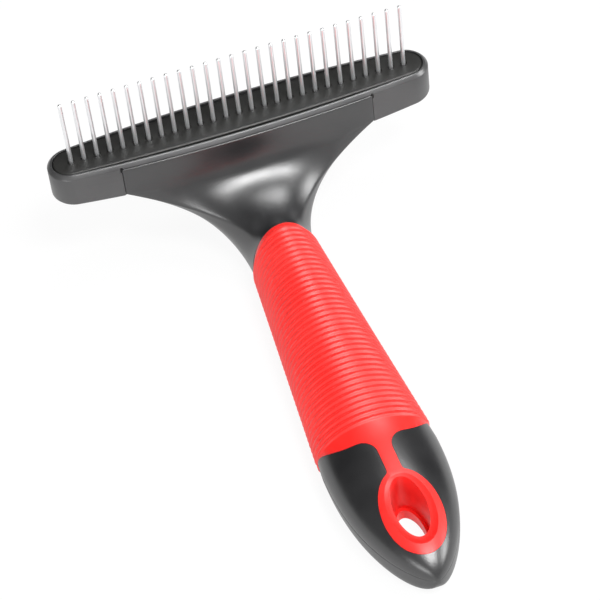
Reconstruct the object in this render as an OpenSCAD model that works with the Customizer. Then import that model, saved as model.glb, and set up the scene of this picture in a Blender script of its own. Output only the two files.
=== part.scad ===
// Rotating-pin grooming rake: a T-shaped rake head with one row of free-turning steel pins,
// a bent neck, a ribbed soft grip and a tail with an oval hang hole.
// Lying on its back: X runs across the head, +Y from the tail to the head, +Z along the pins.

/* [Head] */
// Length of the head across the handle
head_l = 106.8; // [90:0.2:130]
// Width of the head at its middle
head_w = 17.2; // [15:0.1:22]
// Radius of the head's rounded ends, seen from above
head_end_r = 6.3; // [5:0.1:7]
// Height of the pin plate's face above the back of the handle
head_height = 34; // [30:0.5:42]
// Depth of the head at its middle
head_depth = 11; // [10:0.1:13]
// Depth of the head at its ends
head_end_depth = 10; // [8:0.1:10]
// Width of the rim round the pin plate, at the ends of the head
rim_w = 1.4; // [1:0.1:2]
// Bevel on the rim's outer edge
rim_bevel = 0.9; // [0.3:0.1:1.2]
// Height of the rim above the front panel
rim_h = 1.2; // [1.1:0.1:2.6]

/* [Pins] */
// Number of pins in the row
pin_count = 27; // [15:1:33]
// Distance from pin to pin
pin_pitch = 3.6; // [2.8:0.1:4]
// Diameter of a pin's wire
pin_d = 1.15; // [0.8:0.05:1.5]
// Length of a pin above the plate
pin_l = 20.4; // [12:0.2:30]
// Diameter of the flattened head that traps a pin
pin_head_d = 2.4; // [2:0.1:2.8]
// Thickness of the flattened head
pin_head_t = 0.6; // [0.4:0.1:1]
// Radial running clearance of a pin in its hole
pin_clearance = 0.05; // [0.02:0.01:0.1]
// End play of a pin's head under the plate
pin_end_play = 0.1; // [0.04:0.02:0.2]

/* [Pin plate] */
// Thickness of the pin plate
plate_t = 3.2; // [2.6:0.1:4]
// Width of the pin plate at its middle
plate_w = 12.8; // [10:0.1:14]
// Clearance round the pin plate at the ends of its recess
plate_gap = 0.15; // [0.05:0.05:0.3]
// Rounding of the plate's upper edge
plate_edge = 0.7; // [0.3:0.1:1]
// Diameter of the dimple round each pin
dimple_d = 2; // [1.6:0.1:2.6]
// Depth of the dimple
dimple_depth = 0.5; // [0.2:0.1:0.8]
// Thickness of the strip that closes the pins in from below
retainer_t = 1.6; // [1.2:0.1:2]
// Width of that strip
retainer_w = 7.2; // [5:0.1:8]
// Clearance round that strip
retainer_gap = 0.15; // [0.05:0.05:0.3]

/* [Neck] */
// Width of the front panel between its two seams
panel_w = 70; // [56:1:80]
// How far the front panel stands proud of the head
panel_proud = 0.3; // [0.1:0.1:0.6]
// Gap at the panel's seams
seam_gap = 0.15; // [0.05:0.05:0.3]
// Thickness of the front panel
panel_t = 2; // [1.5:0.1:2.6]
// Length of the tongue that holds the head on the neck
tongue_l = 56; // [40:1:60]
// Width of that tongue
tongue_w = 5; // [4:0.1:6]
// Distance from the pin row to the end of the neck
neck_l = 31; // [26:0.5:40]
// Width of the neck where the grip starts
neck_w = 18; // [16:0.2:24]
// Distance from the pin row to the neck's side edges, under the head
neck_set = 7.1; // [4:0.1:7.5]
// Height of the neck's straight collar under the head
neck_collar = 0.4; // [0.4:0.1:2]
// Height of the neck above its widest line where the grip starts
neck_front = 13.9; // [11:0.1:15]

/* [Handle] */
// Height of the handle's widest line above its back
handle_back = 6; // [5:0.1:8]
// Width of the grip at the neck
grip_w_neck = 18.2; // [17:0.2:24]
// Width of the grip at its widest
grip_w_tail = 30.4; // [26:0.2:36]
// Height of the grip above its widest line, at the neck
grip_front_neck = 15.2; // [12:0.1:17]
// Height of the grip above its widest line, at the tail
grip_front_tail = 10.3; // [8:0.1:13]
// Distance from the pin row to the widest place
grip_widest = 105; // [95:1:125]
// Thickness of the soft grip
grip_t = 1.8; // [1.2:0.1:2.4]
// Clearance between the core and the soft grip
bond_gap = 0.02; // [0.01:0.01:0.05]

/* [Ribs] */
// Number of ribs round the grip
rib_count = 38; // [20:1:40]
// Distance from rib to rib
rib_pitch = 1.8; // [1.6:0.05:2]
// Height of a rib
rib_h = 0.45; // [0.2:0.05:0.7]
// Smooth stretch before the first rib
rib_lead = 2.6; // [1:0.1:5]

/* [Tail] */
// Distance from the pin row to the tip of the tail
tail_end = 145.4; // [140:0.2:165]
// Distance from the pin row to the grip's edge on the tail
grip_edge = 105.8; // [102:0.2:109]
// How far the grip's edge runs back along the sides
grip_edge_sweep = 6.3; // [2:0.1:8]
// Width of the soft strip that joins the grip to the eyelet
bridge_w = 3.8; // [3:0.1:6]
// Width of the soft eyelet round the hang hole
eyelet_w = 15.1; // [13:0.1:18]
// Length of the soft eyelet
eyelet_l = 23.4; // [20:0.2:24]
// Distance from the pin row to the middle of the eyelet
eyelet_at = 128.6; // [126:0.2:134]
// Distance from the pin row to the middle of the hang hole
hole_at = 127; // [125:0.1:133]
// Width of the hang hole
hole_w = 8.5; // [6:0.1:10]
// Length of the hang hole
hole_l = 16.4; // [12:0.2:17]
// Width of the lip that narrows the hang hole at its back
hole_lip_w = 1; // [0.5:0.1:2]
// Height of that lip
hole_lip_h = 3; // [1:0.1:4]
// Thickness of the soft lining inside the hang hole
lining_t = 1.6; // [1:0.1:2]
// Depth of the dish that leads into the hang hole
dish_depth = 0.6; // [0.4:0.1:2]

/* [Hidden] */
fine = 48;
section_points = 32;
neck_steps = 12;
tail_steps = 9;
eps = 0.01;
// How far the neck stays inside the panel that caps it
neck_skin = 0.1;
head_half_l = head_l / 2;
head_half_w = head_w / 2;
head_bottom = head_height - head_depth;
end_bottom = head_height - head_end_depth;
// Rounding of the lower edge at the head's ends
end_edge = 0.8;
panel_top = head_height - rim_h;
panel_foot = head_bottom - 0.4;
// The neck's top section, and its front and back measured from its side edges
neck_top = head_bottom - neck_collar;
neck_top_front = head_half_w + panel_proud - neck_skin - neck_set;
neck_top_back = head_half_w - 1.6 + neck_set;
// Levels inside the head, from the plate's seat down
plate_seat = head_height - plate_t;
retainer_seat = plate_seat - retainer_t;
pocket_floor = head_bottom + 2;
counterbore_top = plate_seat + pin_head_t + 2 * pin_end_play;
// The plate follows the rim at its ends and leaves a groove at its middle
plate_half_l = head_half_l - rim_w - plate_gap;
plate_end_r = head_end_r - rim_w - plate_gap;
retainer_half_l = (pin_count - 1) / 2 * pin_pitch + pin_head_d / 2 + 1.4;
pocket_half_l = min(panel_w / 2 + 2, retainer_half_l - 2);
pocket_half_w = retainer_w / 2 - 0.9;
// The ribs start behind the grip's smooth lead
grip_start = neck_l;
rib_start = grip_start + rib_lead;
// Where the tail's last section sits, in degrees round its curve: the tip, and the core inside the grip
tail_last = 86;
core_last = 71;
// How much nearer the pin row the head's edge is at the panel's seams than at its middle
head_sag = head_half_w - lens_y(panel_w / 2, head_half_l, head_half_w, head_end_r);
// How far the handle's round back reaches below its flat
back_over = 0.6;
// Moves the pin row away from the origin, so that the part's box is centred on it
row_y = (tail_t(tail_steps, tail_last) - head_half_w) / 2;

function pin_name(i) = str("pin_", i < 10 ? "0" : "", i);
function pin_x(i) = (i - 1 - (pin_count - 1) / 2) * pin_pitch;
function power(value, exponent) = sign(value) * pow(abs(value), exponent);

// Two long arcs that run tangent into two end arcs: half length a, half width b, end radius r
function lens_r(a, b, r) = (pow(a - r, 2) + b * b - r * r) / (2 * (b - r));
function lens_y(x, a, b, r) = b - lens_r(a, b, r) + sqrt(pow(lens_r(a, b, r), 2) - x * x);
function arc_points(x, y, r, from, to, steps) = [
    for (i = [0:steps]) let (g = from + (to - from) * i / steps) [x + r * cos(g), y + r * sin(g)]
];
function inner_points(points) = [for (i = [1:len(points) - 2]) points[i]];
function lens_points(a, b, r) =
    let (big = lens_r(a, b, r), tilt = atan2(big - b, a - r), ends = 14, sides = 16)
    concat(
        arc_points(a - r, 0, r, -tilt, tilt, ends),
        inner_points(arc_points(0, b - big, big, tilt, 180 - tilt, sides)),
        arc_points(r - a, 0, r, 180 - tilt, 180 + tilt, ends),
        inner_points(arc_points(0, big - b, big, 180 + tilt, 360 - tilt, sides))
    );

// A cross-section of the neck or handle: half width a, front height f, back depth b, squareness of
// the back, square 0 round to 1 square-cornered, sag the height it loses at its sides
function section(a, f, b, back_n = 2.6, square = 0, sag = 0) = [
    for (i = [0:section_points - 1])
        let (g = 360 * i / section_points, c = cos(g), s = sin(g), n = s < 0 ? back_n : 2)
        let (corner = square / max(abs(c), abs(s)))
        let (x = (1 - square) * power(c, 2 / n) + corner * c, y = (1 - square) * power(s, 2 / n) + corner * s)
        [a * x, ((s < 0 ? b : f) - sag * x * x) * y]
];

// Puts a section in space: t from the pin row, z above the back, tilt 0 flat to 90 upright
function placed(points, t, z, tilt, floor_z = 0) = [
    for (p = points) [p[0], -t - p[1] * cos(tilt), max(floor_z, z + p[1] * sin(tilt))]
];

// Share of the way along the straight part of the grip, and of the way round the tail
function along(t) = min(1, max(0, (t - grip_start) / (grip_widest - grip_start)));
function round_tail(t) = min(1, max(0, (t - grip_widest) / (tail_end - grip_widest)));

// Size of the handle at t: half width, front height, back depth, and the squareness of its back
function half_w(t) =
    (grip_w_neck + (grip_w_tail - grip_w_neck) * along(t)) / 2 * pow(1 - pow(round_tail(t), 2.3), 0.72);
function front_h(t) =
    (grip_front_neck + (grip_front_tail - grip_front_neck) * along(t)) * pow(1 - pow(round_tail(t), 2), 0.5);
function back_h(t) = (handle_back + back_over) * pow(1 - pow(round_tail(t), 12), 0.5);
function back_n(t) = 2.6 + 3 * round_tail(t);

// The handle's section at t, grown by out and kept above floor_z
function handle_ring(t, out, floor_z) = placed(
    section(half_w(t) + out, front_h(t) + out, back_h(t) + out, back_n(t)), t, handle_back, 90, floor_z
);

// The neck's section at step s, from 0 under the head to 1 at the grip, raised by lift
function neck_ring(s, lift = 0) = placed(
    section(
        neck_w / 2 + (panel_w / 2 - neck_skin - neck_w / 2) * pow(1 - s, 2.2),
        neck_top_front + (neck_front - neck_top_front) * pow(s, 0.8),
        neck_top_back + (back_h(neck_l) - neck_top_back) * s,
        2.6,
        pow(1 - s, 2),
        head_sag * pow(1 - s, 2)
    ),
    neck_set + (neck_l - neck_set) * pow(1 - cos(90 * s), 0.92),
    handle_back + (neck_top - handle_back) * (1 - sin(90 * s)) + lift,
    90 * s
);

// Stations round the tail, closer together towards its end
function tail_t(i, last) = grip_widest + (tail_end - grip_widest) * sin(last * i / tail_steps);

module lens(a, b, r, z, h) {
    translate([0, 0, z]) linear_extrude(height = h) polygon(lens_points(a, b, r));
}

// The outlines of the head and of the pin plate, drawn in by inset
module head_lens(inset, z, h) {
    lens(head_half_l - inset, head_half_w - inset, head_end_r - inset, z, h);
}

module plate_lens(inset, z, h) {
    lens(plate_half_l - inset, plate_w / 2 - inset, plate_end_r - inset, z, h);
}

// A closed skin over rings that all have the same number of points
module chain(rings) {
    n = len(rings[0]);
    last = (len(rings) - 1) * n;
    polyhedron(
        points = [for (ring = rings) each ring],
        faces = concat(
            [[for (i = [0:n - 1]) i]],
            [[for (i = [n - 1:-1:0]) last + i]],
            [
                for (k = [0:n:last - n], i = [0:n - 1])
                    let (j = (i + 1) % n)
                    each [[k + i, k + n + i, k + n + j], [k + i, k + n + j, k + j]]
            ]
        )
    );
}

// The handle from t0 to its tail
module handle_solid(t0, out, floor_z, last = tail_last) {
    chain(concat(
        [for (i = [0:3]) handle_ring(t0 + (grip_widest - t0) * i / 4, out, floor_z)],
        [for (i = [0:tail_steps]) handle_ring(tail_t(i, last), out, floor_z)]
    ));
}

// What the soft grip wraps, with a gap round it
module core_solid(gap = 0) {
    handle_solid(grip_start - 2, gap - grip_t, grip_t - gap, core_last);
}

module oval(l, w) {
    scale([w / l, 1]) circle(d = l, $fn = fine);
}

// Where the soft grip covers the handle, seen from the front
module grip_region(out = 0) {
    edge_x = grip_w_tail * 0.6;
    side = grip_edge_sweep - grip_edge;
    offset(delta = out, $fn = 24) offset(r = -2.4, $fn = 24) offset(r = 2.4, $fn = 24) union() {
        polygon(concat(
            [[edge_x, side], [edge_x, 1 - grip_start], [-edge_x, 1 - grip_start], [-edge_x, side]],
            [for (i = [-9:9]) [grip_w_tail / 2 * i / 9, side - grip_edge_sweep * (1 - pow(i / 9, 4))]]
        ));
        translate([-bridge_w / 2, -eyelet_at]) square([bridge_w, eyelet_at - grip_edge + 4]);
        translate([0, -eyelet_at]) oval(eyelet_l, eyelet_w);
    }
}

// The straight way through the tail, grown by out
module hang_hole(out = 0) {
    translate([0, -hole_at, -1]) linear_extrude(height = head_height)
        oval(hole_l + 2 * out, hole_w + 2 * out);
}

// The dish that leads into the hole from the front
module hole_dish() {
    fall = atan((front_h(eyelet_at - eyelet_l / 2) - front_h(eyelet_at + eyelet_l / 2)) / eyelet_l);
    translate([0, -hole_at, handle_back + front_h(hole_at) - dish_depth]) rotate([fall, 0, 0]) hull() {
        translate([0, 0, -dish_depth]) linear_extrude(height = eps) oval(hole_l - 1, hole_w - 1);
        translate([0, 0, dish_depth]) linear_extrude(height = eps) oval(eyelet_l - 1, eyelet_w - 1);
    }
}

module place() {
    translate([0, row_y, 0]) children();
}

module head_frame() {
    color([0.14, 0.14, 0.15]) place() difference() {
        hull() {
            head_lens(rim_bevel, head_height - eps, eps);
            head_lens(0, end_bottom + end_edge, head_end_depth - end_edge - rim_bevel);
            head_lens(end_edge, end_bottom, eps);
            intersection() {
                head_lens(end_edge / 2, head_bottom, eps);
                translate([-panel_w / 2 - 1, -head_w, 0]) cube([panel_w + 2, 2 * head_w, head_height]);
            }
        }
        head_lens(rim_w, plate_seat, plate_t + 1);
        translate([-retainer_half_l - retainer_gap, -retainer_w / 2 - retainer_gap, retainer_seat])
            cube([2 * (retainer_half_l + retainer_gap), retainer_w + 2 * retainer_gap, retainer_t + 1]);
        translate([-pocket_half_l, -pocket_half_w, pocket_floor])
            cube([2 * pocket_half_l, 2 * pocket_half_w, retainer_seat]);
        translate([-tongue_l / 2 - seam_gap, -tongue_w / 2 - seam_gap, head_bottom - 1])
            cube([tongue_l + 2 * seam_gap, tongue_w + 2 * seam_gap, 4]);
        translate([-panel_w / 2 - seam_gap, -head_w, head_bottom - 1])
            cube([panel_w + 2 * seam_gap, head_half_w + panel_t, panel_top + seam_gap - head_bottom + 1]);
    }
}

module pin_plate() {
    color([0.12, 0.12, 0.13]) place() difference() {
        hull() {
            plate_lens(0, plate_seat, plate_t - plate_edge);
            plate_lens(plate_edge, head_height - eps, eps);
        }
        for (i = [1:pin_count]) translate([pin_x(i), 0, 0]) {
            translate([0, 0, plate_seat - 1])
                cylinder(d = pin_d + 2 * pin_clearance, h = plate_t + 2, $fn = fine);
            translate([0, 0, plate_seat - 1])
                cylinder(d = pin_head_d + 0.4, h = counterbore_top - plate_seat + 1, $fn = fine);
            translate([0, 0, head_height - dimple_depth])
                cylinder(d1 = pin_d + 2 * pin_clearance, d2 = dimple_d, h = dimple_depth + eps, $fn = fine);
        }
    }
}

module pin_retainer() {
    color([0.3, 0.3, 0.31]) place() translate([-retainer_half_l, -retainer_w / 2, retainer_seat])
        cube([2 * retainer_half_l, retainer_w, retainer_t]);
}

module pin(i) {
    tip_r = pin_d / 2;
    head_z = plate_seat + pin_end_play / 2;
    color([0.8, 0.81, 0.82]) place() translate([pin_x(i), 0, 0]) rotate_extrude($fn = fine) union() {
        translate([0, head_z]) square([pin_head_d / 2, pin_head_t]);
        translate([0, head_z]) square([tip_r, head_height + pin_l - tip_r - head_z]);
        intersection() {
            translate([0, head_height + pin_l - tip_r]) circle(r = tip_r, $fn = fine);
            translate([0, head_height]) square([pin_d, pin_l + 1]);
        }
    }
}

module handle_core() {
    color([0.13, 0.13, 0.14]) place() difference() {
        union() {
            chain(concat([neck_ring(0, neck_collar)], [for (i = [0:neck_steps]) neck_ring(i / neck_steps)]));
            // The front panel that closes the head between its seams
            intersection() {
                lens(head_half_l, head_half_w + panel_proud, head_end_r, panel_foot, panel_top - panel_foot);
                translate([-panel_w / 2, -head_w, 0])
                    cube([panel_w, head_half_w + panel_t - seam_gap, head_height]);
            }
            translate([-tongue_l / 2, -tongue_w / 2, head_bottom - 2]) cube([tongue_l, tongue_w, 5]);
            core_solid();
            difference() {
                handle_solid(grip_start + 4, 0, 0);
                translate([0, 0, -1]) linear_extrude(height = head_height) grip_region(bond_gap);
            }
        }
        hang_hole(lining_t + bond_gap);
    }
}

module grip_sleeve() {
    color([0.9, 0.25, 0.23]) place() difference() {
        intersection() {
            ribbed_solid();
            translate([0, 0, -1]) linear_extrude(height = head_height) grip_region();
        }
        difference() {
            core_solid(bond_gap);
            hang_hole(lining_t);
        }
        hang_hole(-hole_lip_w);
        translate([0, 0, hole_lip_h + 1]) hang_hole();
        hole_dish();
    }
}

// The handle from the grip's start, with a groove before and after each rib
module ribbed_solid() {
    groove_start = rib_start - rib_pitch / 2;
    chain(concat(
        [handle_ring(grip_start, 0, 0)],
        [for (i = [0:2 * rib_count]) handle_ring(groove_start + i * rib_pitch / 2, i % 2 * rib_h, 0)],
        [for (i = [0:tail_steps]) handle_ring(tail_t(i, tail_last), 0, 0)]
    ));
}

head_frame();
pin_plate();
pin_retainer();
handle_core();
grip_sleeve();
for (i = [1:pin_count]) pin(i);
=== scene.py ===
import math

import bmesh
import bpy
from mathutils import Matrix, Vector


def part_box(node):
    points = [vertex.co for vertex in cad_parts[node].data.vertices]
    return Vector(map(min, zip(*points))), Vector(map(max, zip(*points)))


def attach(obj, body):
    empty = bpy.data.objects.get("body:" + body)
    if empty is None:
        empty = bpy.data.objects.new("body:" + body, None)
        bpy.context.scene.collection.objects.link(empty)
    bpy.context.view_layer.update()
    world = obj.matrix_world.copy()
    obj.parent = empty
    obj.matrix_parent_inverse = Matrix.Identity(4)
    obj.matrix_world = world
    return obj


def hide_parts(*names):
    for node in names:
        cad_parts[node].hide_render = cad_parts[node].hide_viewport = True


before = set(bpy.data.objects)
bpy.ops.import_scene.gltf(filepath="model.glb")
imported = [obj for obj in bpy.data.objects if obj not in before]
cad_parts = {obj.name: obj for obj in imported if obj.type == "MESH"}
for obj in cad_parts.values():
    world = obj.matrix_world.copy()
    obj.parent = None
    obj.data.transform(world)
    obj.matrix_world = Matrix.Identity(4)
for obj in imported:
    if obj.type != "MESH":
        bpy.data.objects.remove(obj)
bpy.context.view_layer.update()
MM = 0.001

# ---------------------------------------------------------------- sizes, in millimetres
# t runs from the pin row towards the tail, so y = ROW - t
middle_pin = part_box("pin_14")
ROW = (middle_pin[0].y + middle_pin[1].y) / 2 / MM
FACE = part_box("pin_plate")[1].z / MM
PLATE_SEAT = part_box("pin_plate")[0].z / MM
HEAD_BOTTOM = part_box("head_frame")[0].z / MM
HALF_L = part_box("head_frame")[1].x / MM
HALF_W = (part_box("head_frame")[1].y / MM) - ROW
PIN_TOP = middle_pin[1].z / MM
PIN_FOOT = middle_pin[0].z / MM
GRIP_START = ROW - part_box("grip_sleeve")[1].y / MM
PLATE_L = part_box("pin_plate")[1].x / MM
PLATE_W = (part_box("pin_plate")[1].y / MM) - ROW

# the head: end arcs, rim, lower bevel, and how much its underside rises at the ends
END_R = 6.3
RIM = 1.4
RIM_BEVEL_FOOT = 5.0
BEVEL = 0.9
END_LIFT = 1.0
# the front panel between its seams
PANEL = 35.0
PANEL_TOP = FACE - 1.2
PANEL_EDGE = 0.35
PANEL_ROOT = 0.3
BELLY_START = 3.5
PROUD = 0.3
SEAM = 0.16
SAG = 1.25
# the neck
NECK_SET = 7.1
NECK_TOP = HEAD_BOTTOM - 0.4
NECK_HALF = 9.0
NECK_FRONT = 13.9
BACK = 6.0
# the grip and the tail
GRIP_NECK, GRIP_TAIL = 18.2, 30.4
FRONT_NECK, FRONT_TAIL = 15.2, 10.3
WIDEST = 105.0
TIP = 145.4
RIB_COUNT, RIB_PITCH, RIB_H, RIB_LEAD = 38, 1.8, 0.45, 2.6
GRIP_T = 1.8
EDGE, SWEEP = 105.8, 6.3
BRIDGE = 1.9
LINING = 1.6
# centre t, half length and half width of two ovals
EYELET = (128.6, 11.7, 7.55)
HOLE = (127.0, 8.2, 4.25)
LIP_W, LIP_H = 1.0, 3.0
DISH = 0.6
BELLY = 2.1
# the pins
PIN_R = 0.575
PIN_SIDES = 32
# far enough below and above the part for a tool that cuts right through
LOW, HIGH = -1, 30


# ---------------------------------------------------------------- meshes
def make(name, verts, faces, angle=35):
    mesh = bpy.data.meshes.new(name)
    mesh.from_pydata([(x * MM, y * MM, z * MM) for x, y, z in verts], [], faces)
    bm = bmesh.new()
    bm.from_mesh(mesh)
    bmesh.ops.remove_doubles(bm, verts=bm.verts, dist=0.002 * MM)
    bmesh.ops.recalc_face_normals(bm, faces=bm.faces)
    bm.to_mesh(mesh)
    bm.free()
    obj = bpy.data.objects.new(name, mesh)
    bpy.context.scene.collection.objects.link(obj)
    smooth(obj, angle)
    return obj


def smooth(obj, angle):
    for p in obj.data.polygons:
        p.use_smooth = True
    obj.data.set_sharp_from_angle(angle=math.radians(angle))


def skin(rings):
    """A closed skin over rings with the same number of points."""
    n = len(rings[0])
    verts = [p for ring in rings for p in ring]
    faces = []
    for k in range(len(rings) - 1):
        for i in range(n):
            j = (i + 1) % n
            faces.append((k * n + i, k * n + j, (k + 1) * n + j, (k + 1) * n + i))
    faces.append(tuple(range(n)))
    faces.append(tuple(reversed(range((len(rings) - 1) * n, len(rings) * n))))
    return verts, faces


def loft(name, rings, angle=35):
    return make(name, *skin(rings), angle)


def ring_points(rx, ry, n, cx=0.0, cy=0.0):
    """n points round an ellipse."""
    turns = [2 * math.pi * i / n for i in range(n)]
    return [(cx + rx * math.cos(g), cy + ry * math.sin(g)) for g in turns]


def at_height(outline, z):
    return [(x, y, z) for x, y in outline]


def prism(name, outline, low, high):
    return loft(name, [at_height(outline, low), at_height(outline, high)])


def cut(obj, tool, operation="DIFFERENCE", angle=35, keep=False):
    """Applies a boolean to obj and removes the tool."""
    m = obj.modifiers.new("cut", "BOOLEAN")
    m.operation, m.solver, m.object = operation, "EXACT", tool
    dg = bpy.context.evaluated_depsgraph_get()
    done = bpy.data.meshes.new_from_object(obj.evaluated_get(dg))
    obj.modifiers.clear()
    old = obj.data
    obj.data = done
    bpy.data.meshes.remove(old)
    if not keep:
        bpy.data.objects.remove(tool)
    smooth(obj, angle)
    return obj


def join(obj, *others):
    bm = bmesh.new()
    bm.from_mesh(obj.data)
    for o in others:
        bm.from_mesh(o.data)
        bpy.data.objects.remove(o)
    bm.to_mesh(obj.data)
    bm.free()
    return obj


# ---------------------------------------------------------------- outlines
def lens(inset=0.0, half_l=None, half_w=None, end_r=END_R, ends=36, sides=72):
    """The head's outline, from above: two long arcs tangent into two end arcs."""
    a, b = (half_l or HALF_L), (half_w or HALF_W)
    big = ((a - end_r) ** 2 + b * b - end_r * end_r) / (2 * (b - end_r))
    tilt = math.atan2(big - b, a - end_r)
    out = []
    for cx, cy, r, g0, g1, steps in (
        (a - end_r, 0, end_r, -tilt, tilt, ends),
        (0, b - big, big, tilt, math.pi - tilt, sides),
        (end_r - a, 0, end_r, math.pi - tilt, math.pi + tilt, ends),
        (0, big - b, big, math.pi + tilt, 2 * math.pi - tilt, sides),
    ):
        for i in range(steps):
            g = g0 + (g1 - g0) * i / steps
            out.append((cx + (r - inset) * math.cos(g), ROW + cy + (r - inset) * math.sin(g)))
    return out


def head_floor(x):
    return HEAD_BOTTOM + END_LIFT * min(1.0, max(0.0, (abs(x) - PANEL - 1) / (HALF_L - PANEL - 2.4)))


def arc(r, steps, g0=0.0, g1=90.0):
    for i in range(steps + 1):
        g = math.radians(g0 + (g1 - g0) * i / steps)
        yield r * math.cos(g), r * math.sin(g)


def polar(c, s, p):
    return 1 / (abs(c) ** p + abs(s) ** p) ** (1 / p)


def section(a, f, b, back_n=2.6, square=0.0, sag=0.0, n=160, front_n=2.0, groove=0.0):
    """A cross-section: half width a, front height f, back depth b. Square 1 has tight round corners."""
    out = []
    for i in range(n):
        g = 2 * math.pi * i / n
        c, s = math.cos(g), math.sin(g)
        round_r, corner_r = polar(c, s, back_n if s < 0 else front_n), polar(c, s, 18.0)
        r = (1 - square) * round_r + square * corner_r
        x, y = r * c, r * s
        dent = groove if abs(s) < 1e-6 else 0.0
        out.append((a * x - math.copysign(dent, x), ((b if s < 0 else f) - sag * x * x) * y))
    return out


def placed(points, t, z, tilt, floor=0.0):
    c, s = math.cos(tilt), math.sin(tilt)
    return [(x, ROW - t - y * c, max(floor, z + y * s)) for x, y in points]


def along(t):
    return min(1.0, max(0.0, (t - GRIP_START) / (WIDEST - GRIP_START)))


def round_tail(t):
    return min(1.0, max(0.0, (t - WIDEST) / (TIP - WIDEST)))


def half_w(t):
    return (GRIP_NECK + (GRIP_TAIL - GRIP_NECK) * along(t)) / 2 * (1 - round_tail(t) ** 2.3) ** 0.72


def front_h(t):
    return (FRONT_NECK + (FRONT_TAIL - FRONT_NECK) * along(t)) * (1 - round_tail(t) ** 2) ** 0.5


def back_h(t):
    return (BACK + 0.6) * (1 - round_tail(t) ** 12) ** 0.5


def handle_ring(t, out=0.0, floor=0.0, n=160, groove=0.0):
    q = round_tail(t)
    sizes = [size + out for size in (half_w(t), front_h(t), back_h(t))]
    points = section(*sizes, 2.6 + 3 * q, n=n, front_n=2.0 + 0.5 * q, groove=groove)
    return placed(points, t, BACK, math.pi / 2, floor)


def tail_stations(last=86.0, steps=34):
    return [WIDEST + (TIP - WIDEST) * math.sin(math.radians(last * i / steps)) for i in range(steps + 1)]


def side_lift(x):
    """How much higher the neck's lower edge sits towards the panel's seams."""
    rise, start = 1.4, 20
    return rise * min(1.0, max(0.0, (abs(x) - start) / (PANEL - start))) ** 2


def neck_ring(s, lift=0.0):
    """The neck's section at step s, 0 under the head and 1 at the grip, raised by lift."""
    tilt = math.pi / 2 * s
    front = HALF_W + PROUD - NECK_SET
    back = HALF_W - 1.6 + NECK_SET
    belly = front + BELLY + (NECK_FRONT - front - BELLY) * (s + 1.1 * s * (1 - s) ** 2) - 0.8 * lift
    square = (1 - s) ** 1.4
    ring = placed(
        section(
            NECK_HALF + (PANEL - NECK_HALF) * (1 - s) ** 2.2,
            belly,
            back + (back_h(GRIP_START) - back) * s,
            2.6, square, square * (belly - front + SAG),
        ),
        NECK_SET + (GRIP_START - NECK_SET) * (1 - math.cos(tilt)) ** 0.92,
        BACK + (NECK_TOP - BACK) * (1 - math.sin(tilt)) + lift,
        tilt,
    )
    return [(x, y, z + side_lift(x) * (1 - s) ** 2) for x, y, z in ring]


def panel_ring(z, inset=0.0, lift=0.0):
    """The slab of the front panel at height z, flush with the neck's top ring."""
    start = FACE - BELLY_START
    belly = BELLY * max(0.0, (start - z) / (start - NECK_TOP)) ** 3
    front = HALF_W + PROUD - NECK_SET - inset + belly
    points = section(PANEL - inset, front, NECK_SET, 2.6, 1.0, SAG + belly)
    return [(x, ROW - NECK_SET - max(y, -PANEL_ROOT), z + lift * side_lift(x)) for x, y in points]


def fillet_to_ellipse(x0, r, centre, half_l, half_w_):
    """The t of the centre of a fillet of radius r between the line x = x0 and the ellipse."""
    t = centre - half_l - 4
    while min(
        math.hypot(half_w_ * math.cos(g) - x0 - r, centre - half_l * math.sin(g) - t)
        for g in [math.pi / 2 * j / 200 for j in range(201)]
    ) > r:
        t += 0.01
    return t


def grip_outline(out=0.0):
    """Where the soft grip covers the handle, seen from the front, grown by out."""
    c, hl, hw = EYELET
    side, bend = 18.0, 15.2
    big, small = 4.7, 1.7
    start = BRIDGE + big
    top = EDGE - SWEEP * (start / bend) ** 4
    # down the side, then the edge that sweeps up to the bridge, on the right half
    line = [(side, GRIP_START - 1.0), (side, EDGE - SWEEP)]
    steps = [bend - (bend - start) * k / 30 for k in range(30)]
    line += [(x, EDGE - SWEEP * (x / bend) ** 4) for x in steps]
    # the fillet into the bridge, and the one from the bridge into the eyelet
    line += [(start - big * y, top + big - big * x) for x, y in arc(1, 16)]
    tc = fillet_to_ellipse(BRIDGE, small, c, hl, hw)
    hit = min(
        [math.pi / 2 * j / 200 for j in range(201)],
        key=lambda g: math.hypot(hw * math.cos(g) - BRIDGE - small, c - hl * math.sin(g) - tc),
    )
    turn = math.atan2(c - hl * math.sin(hit) - tc, BRIDGE + small - hw * math.cos(hit))
    for x, y in arc(1, 8, 0, math.degrees(turn)):
        line.append((BRIDGE + small - small * x, tc + small * y))
    # round the eyelet to the tip
    for k in range(1, 61):
        g = hit - (hit + math.pi / 2) * k / 60
        line.append((hw * math.cos(g), c - hl * math.sin(g)))
    if out:
        line = grow(line, out)
    right = [(x, t) for x, t in line if x > 1e-6]
    left = [(-x, t) for x, t in reversed(right)]
    return [(x, ROW - t) for x, t in right + [(0.0, c + hl + out)] + left]


def grow(line, out):
    """The line moved outwards by out, away from the grip."""
    done = []
    for k, (x, t) in enumerate(line):
        ax, at = line[max(0, k - 1)]
        bx, bt = line[min(len(line) - 1, k + 1)]
        dx, dt = bx - ax, bt - at
        size = math.hypot(dx, dt) or 1.0
        done.append((x + dt / size * out, t - dx / size * out) if k else (x + out, t - out))
    return done


def oval(centre, half_l, half_w_, out=0.0, n=72):
    return ring_points(half_w_ + out, half_l + out, n, cy=ROW - centre)


# ---------------------------------------------------------------- head shell
rings = []
for c, s in arc(BEVEL, 6, 90, 0):
    rings.append([(x, y, head_floor(x) + BEVEL - s) for x, y in lens(BEVEL - c)])
rings.append(at_height(lens(), FACE - RIM_BEVEL_FOOT))
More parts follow.
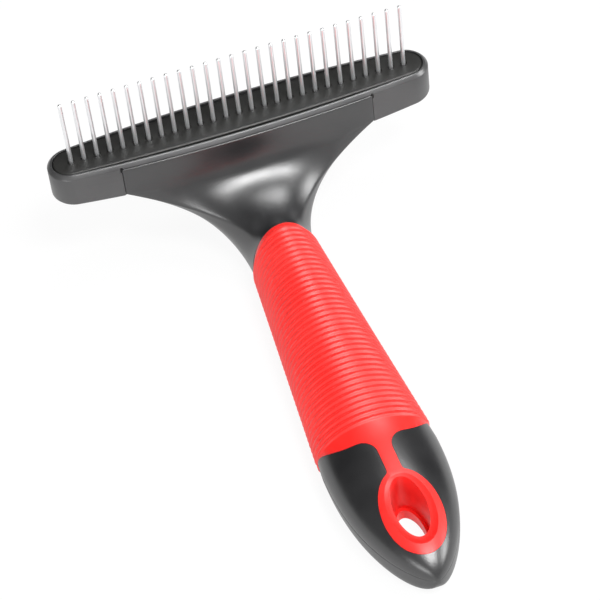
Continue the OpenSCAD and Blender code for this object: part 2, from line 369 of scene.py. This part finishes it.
# the rim's bevel and its rounded crest, as inset and depth below the face
bevel = ((0.0, 1.15), (0.06, 0.98), (0.16, 0.84), (0.78, 0.17), (0.9, 0.06))
crest = ((1.04, 0.0), (1.26, 0.0), (1.37, 0.04), (RIM, 0.16))
rings += [at_height(lens(inset), FACE - drop) for inset, drop in bevel + crest]
rings.append(at_height(lens(RIM), PLATE_SEAT + 0.02))
shell = loft("head_shell", rings, 30)
opening_x, before, behind = PANEL + SEAM, ROW - HALF_W - 6, ROW - HALF_W + 2.0
opening = [(-opening_x, before), (opening_x, before), (opening_x, behind), (-opening_x, behind)]
cut(shell, prism("front_cut", opening, HEAD_BOTTOM - 3, PANEL_TOP + SEAM), angle=30)
for side in (-1, 1):
    notch = ring_points(0.42, 0.5, 20, side * (PANEL + 0.1), ROW - HALF_W + SAG)
    cut(shell, prism("notch", notch, PANEL_TOP - 1.0, PANEL_TOP + 0.5), angle=30)

# ---------------------------------------------------------------- pin plate
plate_edge, plate_end_r = 0.6, END_R - RIM - 0.15
rings = [at_height(lens(0, PLATE_L, PLATE_W, plate_end_r), PLATE_SEAT)]
for c, s in arc(plate_edge, 6, 0, 90):
    outline = lens(plate_edge - c, PLATE_L, PLATE_W, plate_end_r)
    rings.append(at_height(outline, FACE - plate_edge + s))
plate = loft("plate_body", rings, 35)
pin_names = ["pin_%02d" % i for i in range(1, 28)]
pin_x = {n: (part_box(n)[0].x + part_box(n)[1].x) / 2 / MM for n in pin_names}
# a dimple round each pin, as radius and height above the face
dimple = ((0.625, -0.9), (0.625, -0.5), (0.8, -0.26), (1.0, -0.06), (1.12, 0.1))
verts, faces = [], []
for n in pin_names:
    v, f = skin([at_height(ring_points(r, r, PIN_SIDES, pin_x[n], ROW), FACE + z) for r, z in dimple])
    faces += [tuple(k + len(verts) for k in face) for face in f]
    verts += v
cut(plate, make("dimples", verts, faces))

# ---------------------------------------------------------------- pins
head_r, head_t, head_edge = 1.2, 0.6, 0.1
profile = [
    (head_r - head_edge, PIN_FOOT),
    (head_r, PIN_FOOT + head_edge),
    (head_r, PIN_FOOT + head_t - head_edge),
    (head_r - head_edge, PIN_FOOT + head_t),
    (PIN_R, PIN_FOOT + head_t),
]
profile += [(PIN_R, FACE + (PIN_TOP - PIN_R - FACE) * k / 4) for k in range(5)]
profile += [(c, PIN_TOP - PIN_R + s) for c, s in arc(PIN_R, 8)][1:-1]
turned = skin([at_height(ring_points(r, r, PIN_SIDES), z) for r, z in profile])
pins = {}
pin_mesh = None
for n in pin_names:
    if pin_mesh is None:
        pins[n] = make("steel_" + n, *turned, 40)
        pin_mesh = pins[n].data
    else:
        pins[n] = bpy.data.objects.new("steel_" + n, pin_mesh)
        bpy.context.scene.collection.objects.link(pins[n])
    pins[n].location = (pin_x[n] * MM, ROW * MM, 0)

# ---------------------------------------------------------------- neck, front panel and hard tail lobes
rings = [panel_ring(PANEL_TOP - PANEL_EDGE + s, PANEL_EDGE - c) for c, s in arc(PANEL_EDGE, 5, 90, 0)]
slab_top, slab_bottom = PANEL_TOP - 1, HEAD_BOTTOM - 0.02
for u in [k / 12 for k in range(13)]:
    rings.append(panel_ring(slab_top + (slab_bottom - slab_top) * u, lift=u ** 2))
rings.append(neck_ring(0, HEAD_BOTTOM - 0.03 - NECK_TOP))
rings += [neck_ring(s / 40) for s in range(41)]
rings += [handle_ring(GRIP_START + 1.0, -GRIP_T, GRIP_T), handle_ring(WIDEST, -GRIP_T, GRIP_T)]
neck = loft("handle_body", rings, 32)

lobe_stations = [GRIP_START + 60] + tail_stations()
lobes = loft("lobes", [handle_ring(t, groove=0.12) for t in lobe_stations], 32)
cut(lobes, prism("soft_area", grip_outline(0.07), LOW, HIGH), angle=32)
core_stations = [WIDEST - 1] + tail_stations(71, 20)
core_tail = loft("core_tail", [handle_ring(t, -GRIP_T, GRIP_T) for t in core_stations])
cut(core_tail, prism("core_hole", oval(*HOLE, out=LINING), LOW, HIGH))
join(neck, core_tail, lobes)
smooth(neck, 32)

# ---------------------------------------------------------------- soft grip
first_rib = GRIP_START + RIB_LEAD - RIB_PITCH / 2
lead_edge = 0.7
skin_over = 0.06
stations = []
for c, s in arc(lead_edge, 6, 90, 0):
    stations.append((GRIP_START + lead_edge * (1 - s), lead_edge * (c - 1)))
steps = 12
for k in range(RIB_COUNT * steps + 1):
    rib = RIB_H * math.sin(math.pi * (k % steps) / steps) ** 2
    stations.append((first_rib + RIB_PITCH * k / steps, rib))
stations += [(t, 0.0) for t in tail_stations()[1:]]
stations = [(t, out) for i, (t, out) in enumerate(stations) if not i or t > stations[i - 1][0] + 1e-4]
rings = [handle_ring(t, out + skin_over if t > GRIP_START + 2 else out) for t, out in stations]
grip = loft("soft_grip", rings, 40)
cut(grip, prism("soft_area", grip_outline(), LOW, HIGH), "INTERSECT", 40)

# the dish round the hole follows the handle's fall towards the tail
before, after = front_h(EYELET[0] - EYELET[1]), front_h(EYELET[0] + EYELET[1])
fall = math.atan((before - after) / (2 * EYELET[1]))
dish_in, dish_out = 0.5, 0.55
rings = []
for u in [k / 8 for k in range(9)]:
    wide = u ** 0.6
    rx = HOLE[2] - dish_in + (EYELET[2] - dish_out - HOLE[2] + dish_in) * wide
    ry = HOLE[1] - dish_in + (EYELET[1] - dish_out - HOLE[1] + dish_in) * wide
    rings.append(at_height(ring_points(rx, ry, 72), DISH * (3.0 * u - 1.6)))
dish_t = HOLE[0] + 0.8
turn = Matrix.Rotation(fall, 4, "X")
turn = Matrix.Translation((0, ROW - dish_t, BACK + front_h(dish_t) - DISH * 0.9)) @ turn
dish = loft("dish", [[tuple(turn @ Vector(p)) for p in ring] for ring in rings])

# the room for the hard core, with the lining left standing round the hole
inner = GRIP_T - 0.02
cavity_stations = [GRIP_START - 2, WIDEST] + tail_stations(71, 12)[1:]
cavity = loft("cavity", [handle_ring(t, -inner, inner, 64) for t in cavity_stations])
cut(cavity, prism("lining", oval(*HOLE, out=LINING), LOW, HIGH))
cut(grip, cavity, angle=40)
cut(grip, prism("hole", oval(*HOLE), LIP_H, HIGH), angle=40)
cut(grip, prism("lip", oval(*HOLE, out=-LIP_W), LOW, LIP_H + 1), angle=40)
cut(grip, dish, angle=40)


# ---------------------------------------------------------------- materials
def material(name):
    m = bpy.data.materials.new(name)
    m.use_nodes = True
    nodes, links = m.node_tree.nodes, m.node_tree.links
    return m, nodes, links, nodes["Principled BSDF"]


def noise(nodes, links, scale, detail=2.0, rough=0.5, stretch=(1, 1, 1)):
    where = nodes.new("ShaderNodeTexCoord")
    mapping = nodes.new("ShaderNodeMapping")
    mapping.inputs["Scale"].default_value = stretch
    n = nodes.new("ShaderNodeTexNoise")
    n.inputs["Scale"].default_value = scale
    n.inputs["Detail"].default_value = detail
    n.inputs["Roughness"].default_value = rough
    links.new(where.outputs["Object"], mapping.inputs["Vector"])
    links.new(mapping.outputs["Vector"], n.inputs["Vector"])
    return n


def spread(nodes, links, source, low, high, start=0.2, end=0.8):
    r = nodes.new("ShaderNodeMapRange")
    r.interpolation_type = "SMOOTHSTEP"
    r.inputs["From Min"].default_value, r.inputs["From Max"].default_value = start, end
    r.inputs["To Min"].default_value, r.inputs["To Max"].default_value = low, high
    links.new(source, r.inputs["Value"])
    return r.outputs["Result"]


def tint(nodes, links, source, first, second, start=0.2, end=0.8):
    ramp = nodes.new("ShaderNodeValToRGB")
    ramp.color_ramp.interpolation = "EASE"
    ramp.color_ramp.elements[0].position, ramp.color_ramp.elements[1].position = start, end
    ramp.color_ramp.elements[0].color = (*first, 1)
    ramp.color_ramp.elements[1].color = (*second, 1)
    links.new(source, ramp.inputs["Fac"])
    return ramp.outputs["Color"]


def bump(nodes, links, source, strength, distance, after=None):
    b = nodes.new("ShaderNodeBump")
    b.inputs["Strength"].default_value = strength
    b.inputs["Distance"].default_value = distance * MM
    links.new(source, b.inputs["Height"])
    if after is not None:
        links.new(after, b.inputs["Normal"])
    return b.outputs["Normal"]


def plastic(name, dark, light, rough, grain, grain_mm, level):
    """A moulded plastic: cloudy colour and gloss, a faint wave and a fine grain."""
    m, nodes, links, shader = material(name)
    cloud = noise(nodes, links, 90, 4)
    fine = noise(nodes, links, 1000 / grain_mm, 2, 0.6)
    links.new(tint(nodes, links, cloud.outputs["Fac"], dark, light), shader.inputs["Base Color"])
    links.new(spread(nodes, links, cloud.outputs["Fac"], *rough), shader.inputs["Roughness"])
    wave = noise(nodes, links, 160, 2)
    soft = bump(nodes, links, wave.outputs["Fac"], 0.25, 0.05)
    links.new(bump(nodes, links, fine.outputs["Fac"], grain, 0.02, soft), shader.inputs["Normal"])
    shader.inputs["Specular IOR Level"].default_value = level
    return m


def grey(low, high):
    """Two nearly neutral greys."""
    return (low, low, low + 0.001), (high, high, high + 0.001)


head_plastic = plastic("head_plastic", *grey(0.034, 0.046), (0.30, 0.40), 0.5, 0.22, 0.9)
plate_dark, plate_light = (0.016, 0.016, 0.015), (0.022, 0.022, 0.021)
plate_plastic = plastic("plate_plastic", plate_dark, plate_light, (0.34, 0.44), 0.35, 0.25, 0.5)
handle_plastic = plastic("handle_plastic", *grey(0.010, 0.016), (0.27, 0.35), 1.0, 0.3, 1.0)
strip_dark, strip_light = (0.10, 0.10, 0.10), (0.13, 0.13, 0.13)
retainer_plastic = plastic("retainer_plastic", strip_dark, strip_light, (0.45, 0.55), 0.3, 0.3, 0.5)

grip_rubber, nodes, links, shader = material("grip_rubber")
cloud = noise(nodes, links, 60, 4)
fine = noise(nodes, links, 4200, 2, 0.6)
reds = tint(nodes, links, cloud.outputs["Fac"], (0.82, 0.014, 0.011), (0.88, 0.022, 0.017))
links.new(reds, shader.inputs["Base Color"])
links.new(spread(nodes, links, cloud.outputs["Fac"], 0.34, 0.44), shader.inputs["Roughness"])
links.new(bump(nodes, links, fine.outputs["Fac"], 0.25, 0.02), shader.inputs["Normal"])
shader.inputs["Subsurface Weight"].default_value = 0.3
shader.inputs["Subsurface Radius"].default_value = (1.0, 0.25, 0.2)
shader.inputs["Subsurface Scale"].default_value = 0.002
shader.inputs["Sheen Weight"].default_value = 0.12
shader.inputs["Sheen Roughness"].default_value = 0.4
shader.inputs["Sheen Tint"].default_value = (1.0, 0.75, 0.75, 1)

pin_steel, nodes, links, shader = material("pin_steel")
drawn = noise(nodes, links, 900, 3, 0.6, (1, 1, 0.06))
shader.inputs["Metallic"].default_value = 0.85
steels = tint(nodes, links, drawn.outputs["Fac"], (0.78, 0.79, 0.80), (0.88, 0.89, 0.90))
links.new(steels, shader.inputs["Base Color"])
links.new(spread(nodes, links, drawn.outputs["Fac"], 0.26, 0.36), shader.inputs["Roughness"])
links.new(bump(nodes, links, drawn.outputs["Fac"], 0.15, 0.01), shader.inputs["Normal"])


def dress(obj, m, body, slot, *replaced):
    """Gives a piece its material and body, and hides the CAD nodes it stands in for; slot is not used.
    """
    obj.data.materials.clear()
    obj.data.materials.append(m)
    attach(obj, body)
    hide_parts(*replaced)


dress(shell, head_plastic, "rake", "head_plastic", "head_frame")
dress(plate, plate_plastic, "rake", "plate_plastic", "pin_plate")
dress(neck, handle_plastic, "rake", "handle_plastic", "handle_core")
dress(grip, grip_rubber, "rake", "grip_rubber", "grip_sleeve")
for n, o in pins.items():
    dress(o, pin_steel, "turning_" + n, "pin_steel", n)
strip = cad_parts["pin_retainer"]
strip.data.materials.clear()
strip.data.materials.append(retainer_plastic)

# ---------------------------------------------------------------- floor, light, camera
floor_mesh = bpy.data.meshes.new("floor")
bm = bmesh.new()
bmesh.ops.create_grid(bm, x_segments=4, y_segments=4, size=3.0)
bm.to_mesh(floor_mesh)
bm.free()
floor = bpy.data.objects.new("floor", floor_mesh)
bpy.context.scene.collection.objects.link(floor)
white, nodes, links, shader = material("floor_white")
shader.inputs["Base Color"].default_value = (0.88, 0.88, 0.88, 1)
shader.inputs["Roughness"].default_value = 0.9
glow = nodes.new("ShaderNodeEmission")
glow.inputs["Strength"].default_value = 1.0
path = nodes.new("ShaderNodeLightPath")


def combine(operation, first, second):
    """A math node; second is a socket or a number."""
    node = nodes.new("ShaderNodeMath")
    node.operation = operation
    links.new(first, node.inputs[0])
    if isinstance(second, float):
        node.inputs[1].default_value = second
    else:
        links.new(second, node.inputs[1])
    return node


seen = combine("MAXIMUM", path.outputs["Is Camera Ray"], path.outputs["Is Glossy Ray"])
seen = combine("MAXIMUM", seen.outputs[0], path.outputs["Is Transmission Ray"])
share = combine("MULTIPLY", seen.outputs[0], 0.93)
mix = nodes.new("ShaderNodeMixShader")
links.new(share.outputs[0], mix.inputs["Fac"])
links.new(shader.outputs[0], mix.inputs[1])
links.new(glow.outputs[0], mix.inputs[2])
links.new(mix.outputs[0], nodes["Material Output"].inputs["Surface"])
floor.data.materials.append(white)

scene = bpy.context.scene
scene.view_settings.view_transform = "Standard"
world = bpy.data.worlds.new("studio")
scene.world = world
world.use_nodes = True
wn, wl = world.node_tree.nodes, world.node_tree.links
wn["Background"].inputs["Strength"].default_value = 1.0
sky = wn.new("ShaderNodeTexCoord")
parts = wn.new("ShaderNodeSeparateXYZ")
wl.new(sky.outputs["Generated"], parts.inputs[0])
front_light = wn.new("ShaderNodeMapRange")
# brighter towards -Y, the side of the tail and the camera
for name, value in (("From Min", 0.6), ("From Max", -0.8), ("To Min", 0.05), ("To Max", 0.55)):
    front_light.inputs[name].default_value = value
wl.new(parts.outputs["Y"], front_light.inputs["Value"])
sky_grey = wn.new("ShaderNodeCombineColor")
for k in range(3):
    wl.new(front_light.outputs["Result"], sky_grey.inputs[k])
wl.new(sky_grey.outputs[0], wn["Background"].inputs["Color"])
pale = wn.new("ShaderNodeBackground")
pale.inputs["Strength"].default_value = 1.0
wpath = wn.new("ShaderNodeLightPath")
wmix = wn.new("ShaderNodeMixShader")
wl.new(wpath.outputs["Is Camera Ray"], wmix.inputs["Fac"])
wl.new(wn["Background"].outputs[0], wmix.inputs[1])
wl.new(pale.outputs[0], wmix.inputs[2])
wl.new(wmix.outputs[0], wn["World Output"].inputs["Surface"])

target = Vector((0, 0.02, 0.015))


def softbox(name, where, size, power, aim=target):
    data = bpy.data.lights.new(name, "AREA")
    data.shape = "RECTANGLE"
    data.size, data.size_y = size
    data.energy = power
    o = bpy.data.objects.new(name, data)
    scene.collection.objects.link(o)
    o.location = where
    o.rotation_mode = "QUATERNION"
    o.rotation_quaternion = (aim - Vector(where)).to_track_quat("-Z", "Y")
    return o


softbox("key", (0.15, -0.34, 0.87), (0.34, 0.22), 6.5)
softbox("right", (0.75, -0.25, 0.45), (0.35, 0.5), 5.0)
softbox("top", (0.30, 0.30, 0.95), (0.30, 0.30), 3.5)
softbox("low_left", (-0.6, -0.6, 0.25), (0.5, 0.3), 2.5)

RIGHT = Vector((0.94293, -0.32163, -0.0862))
LOOK = Vector((0.16025, 0.66524, -0.72923))
data = bpy.data.cameras.new("camera")
data.sensor_width, data.lens = 36.0, 156.0
data.clip_start, data.clip_end = 0.01, 20
camera = bpy.data.objects.new("camera", data)
scene.collection.objects.link(camera)
place = Vector((-110.4, -500.2 + ROW, 470.1 + FACE)) * MM
back = -LOOK.normalized()
right = (RIGHT - back * RIGHT.dot(back)).normalized()
up = back.cross(right)
camera.matrix_world = Matrix.Translation(place) @ Matrix((right, up, back)).transposed().to_4x4()
scene.camera = camera
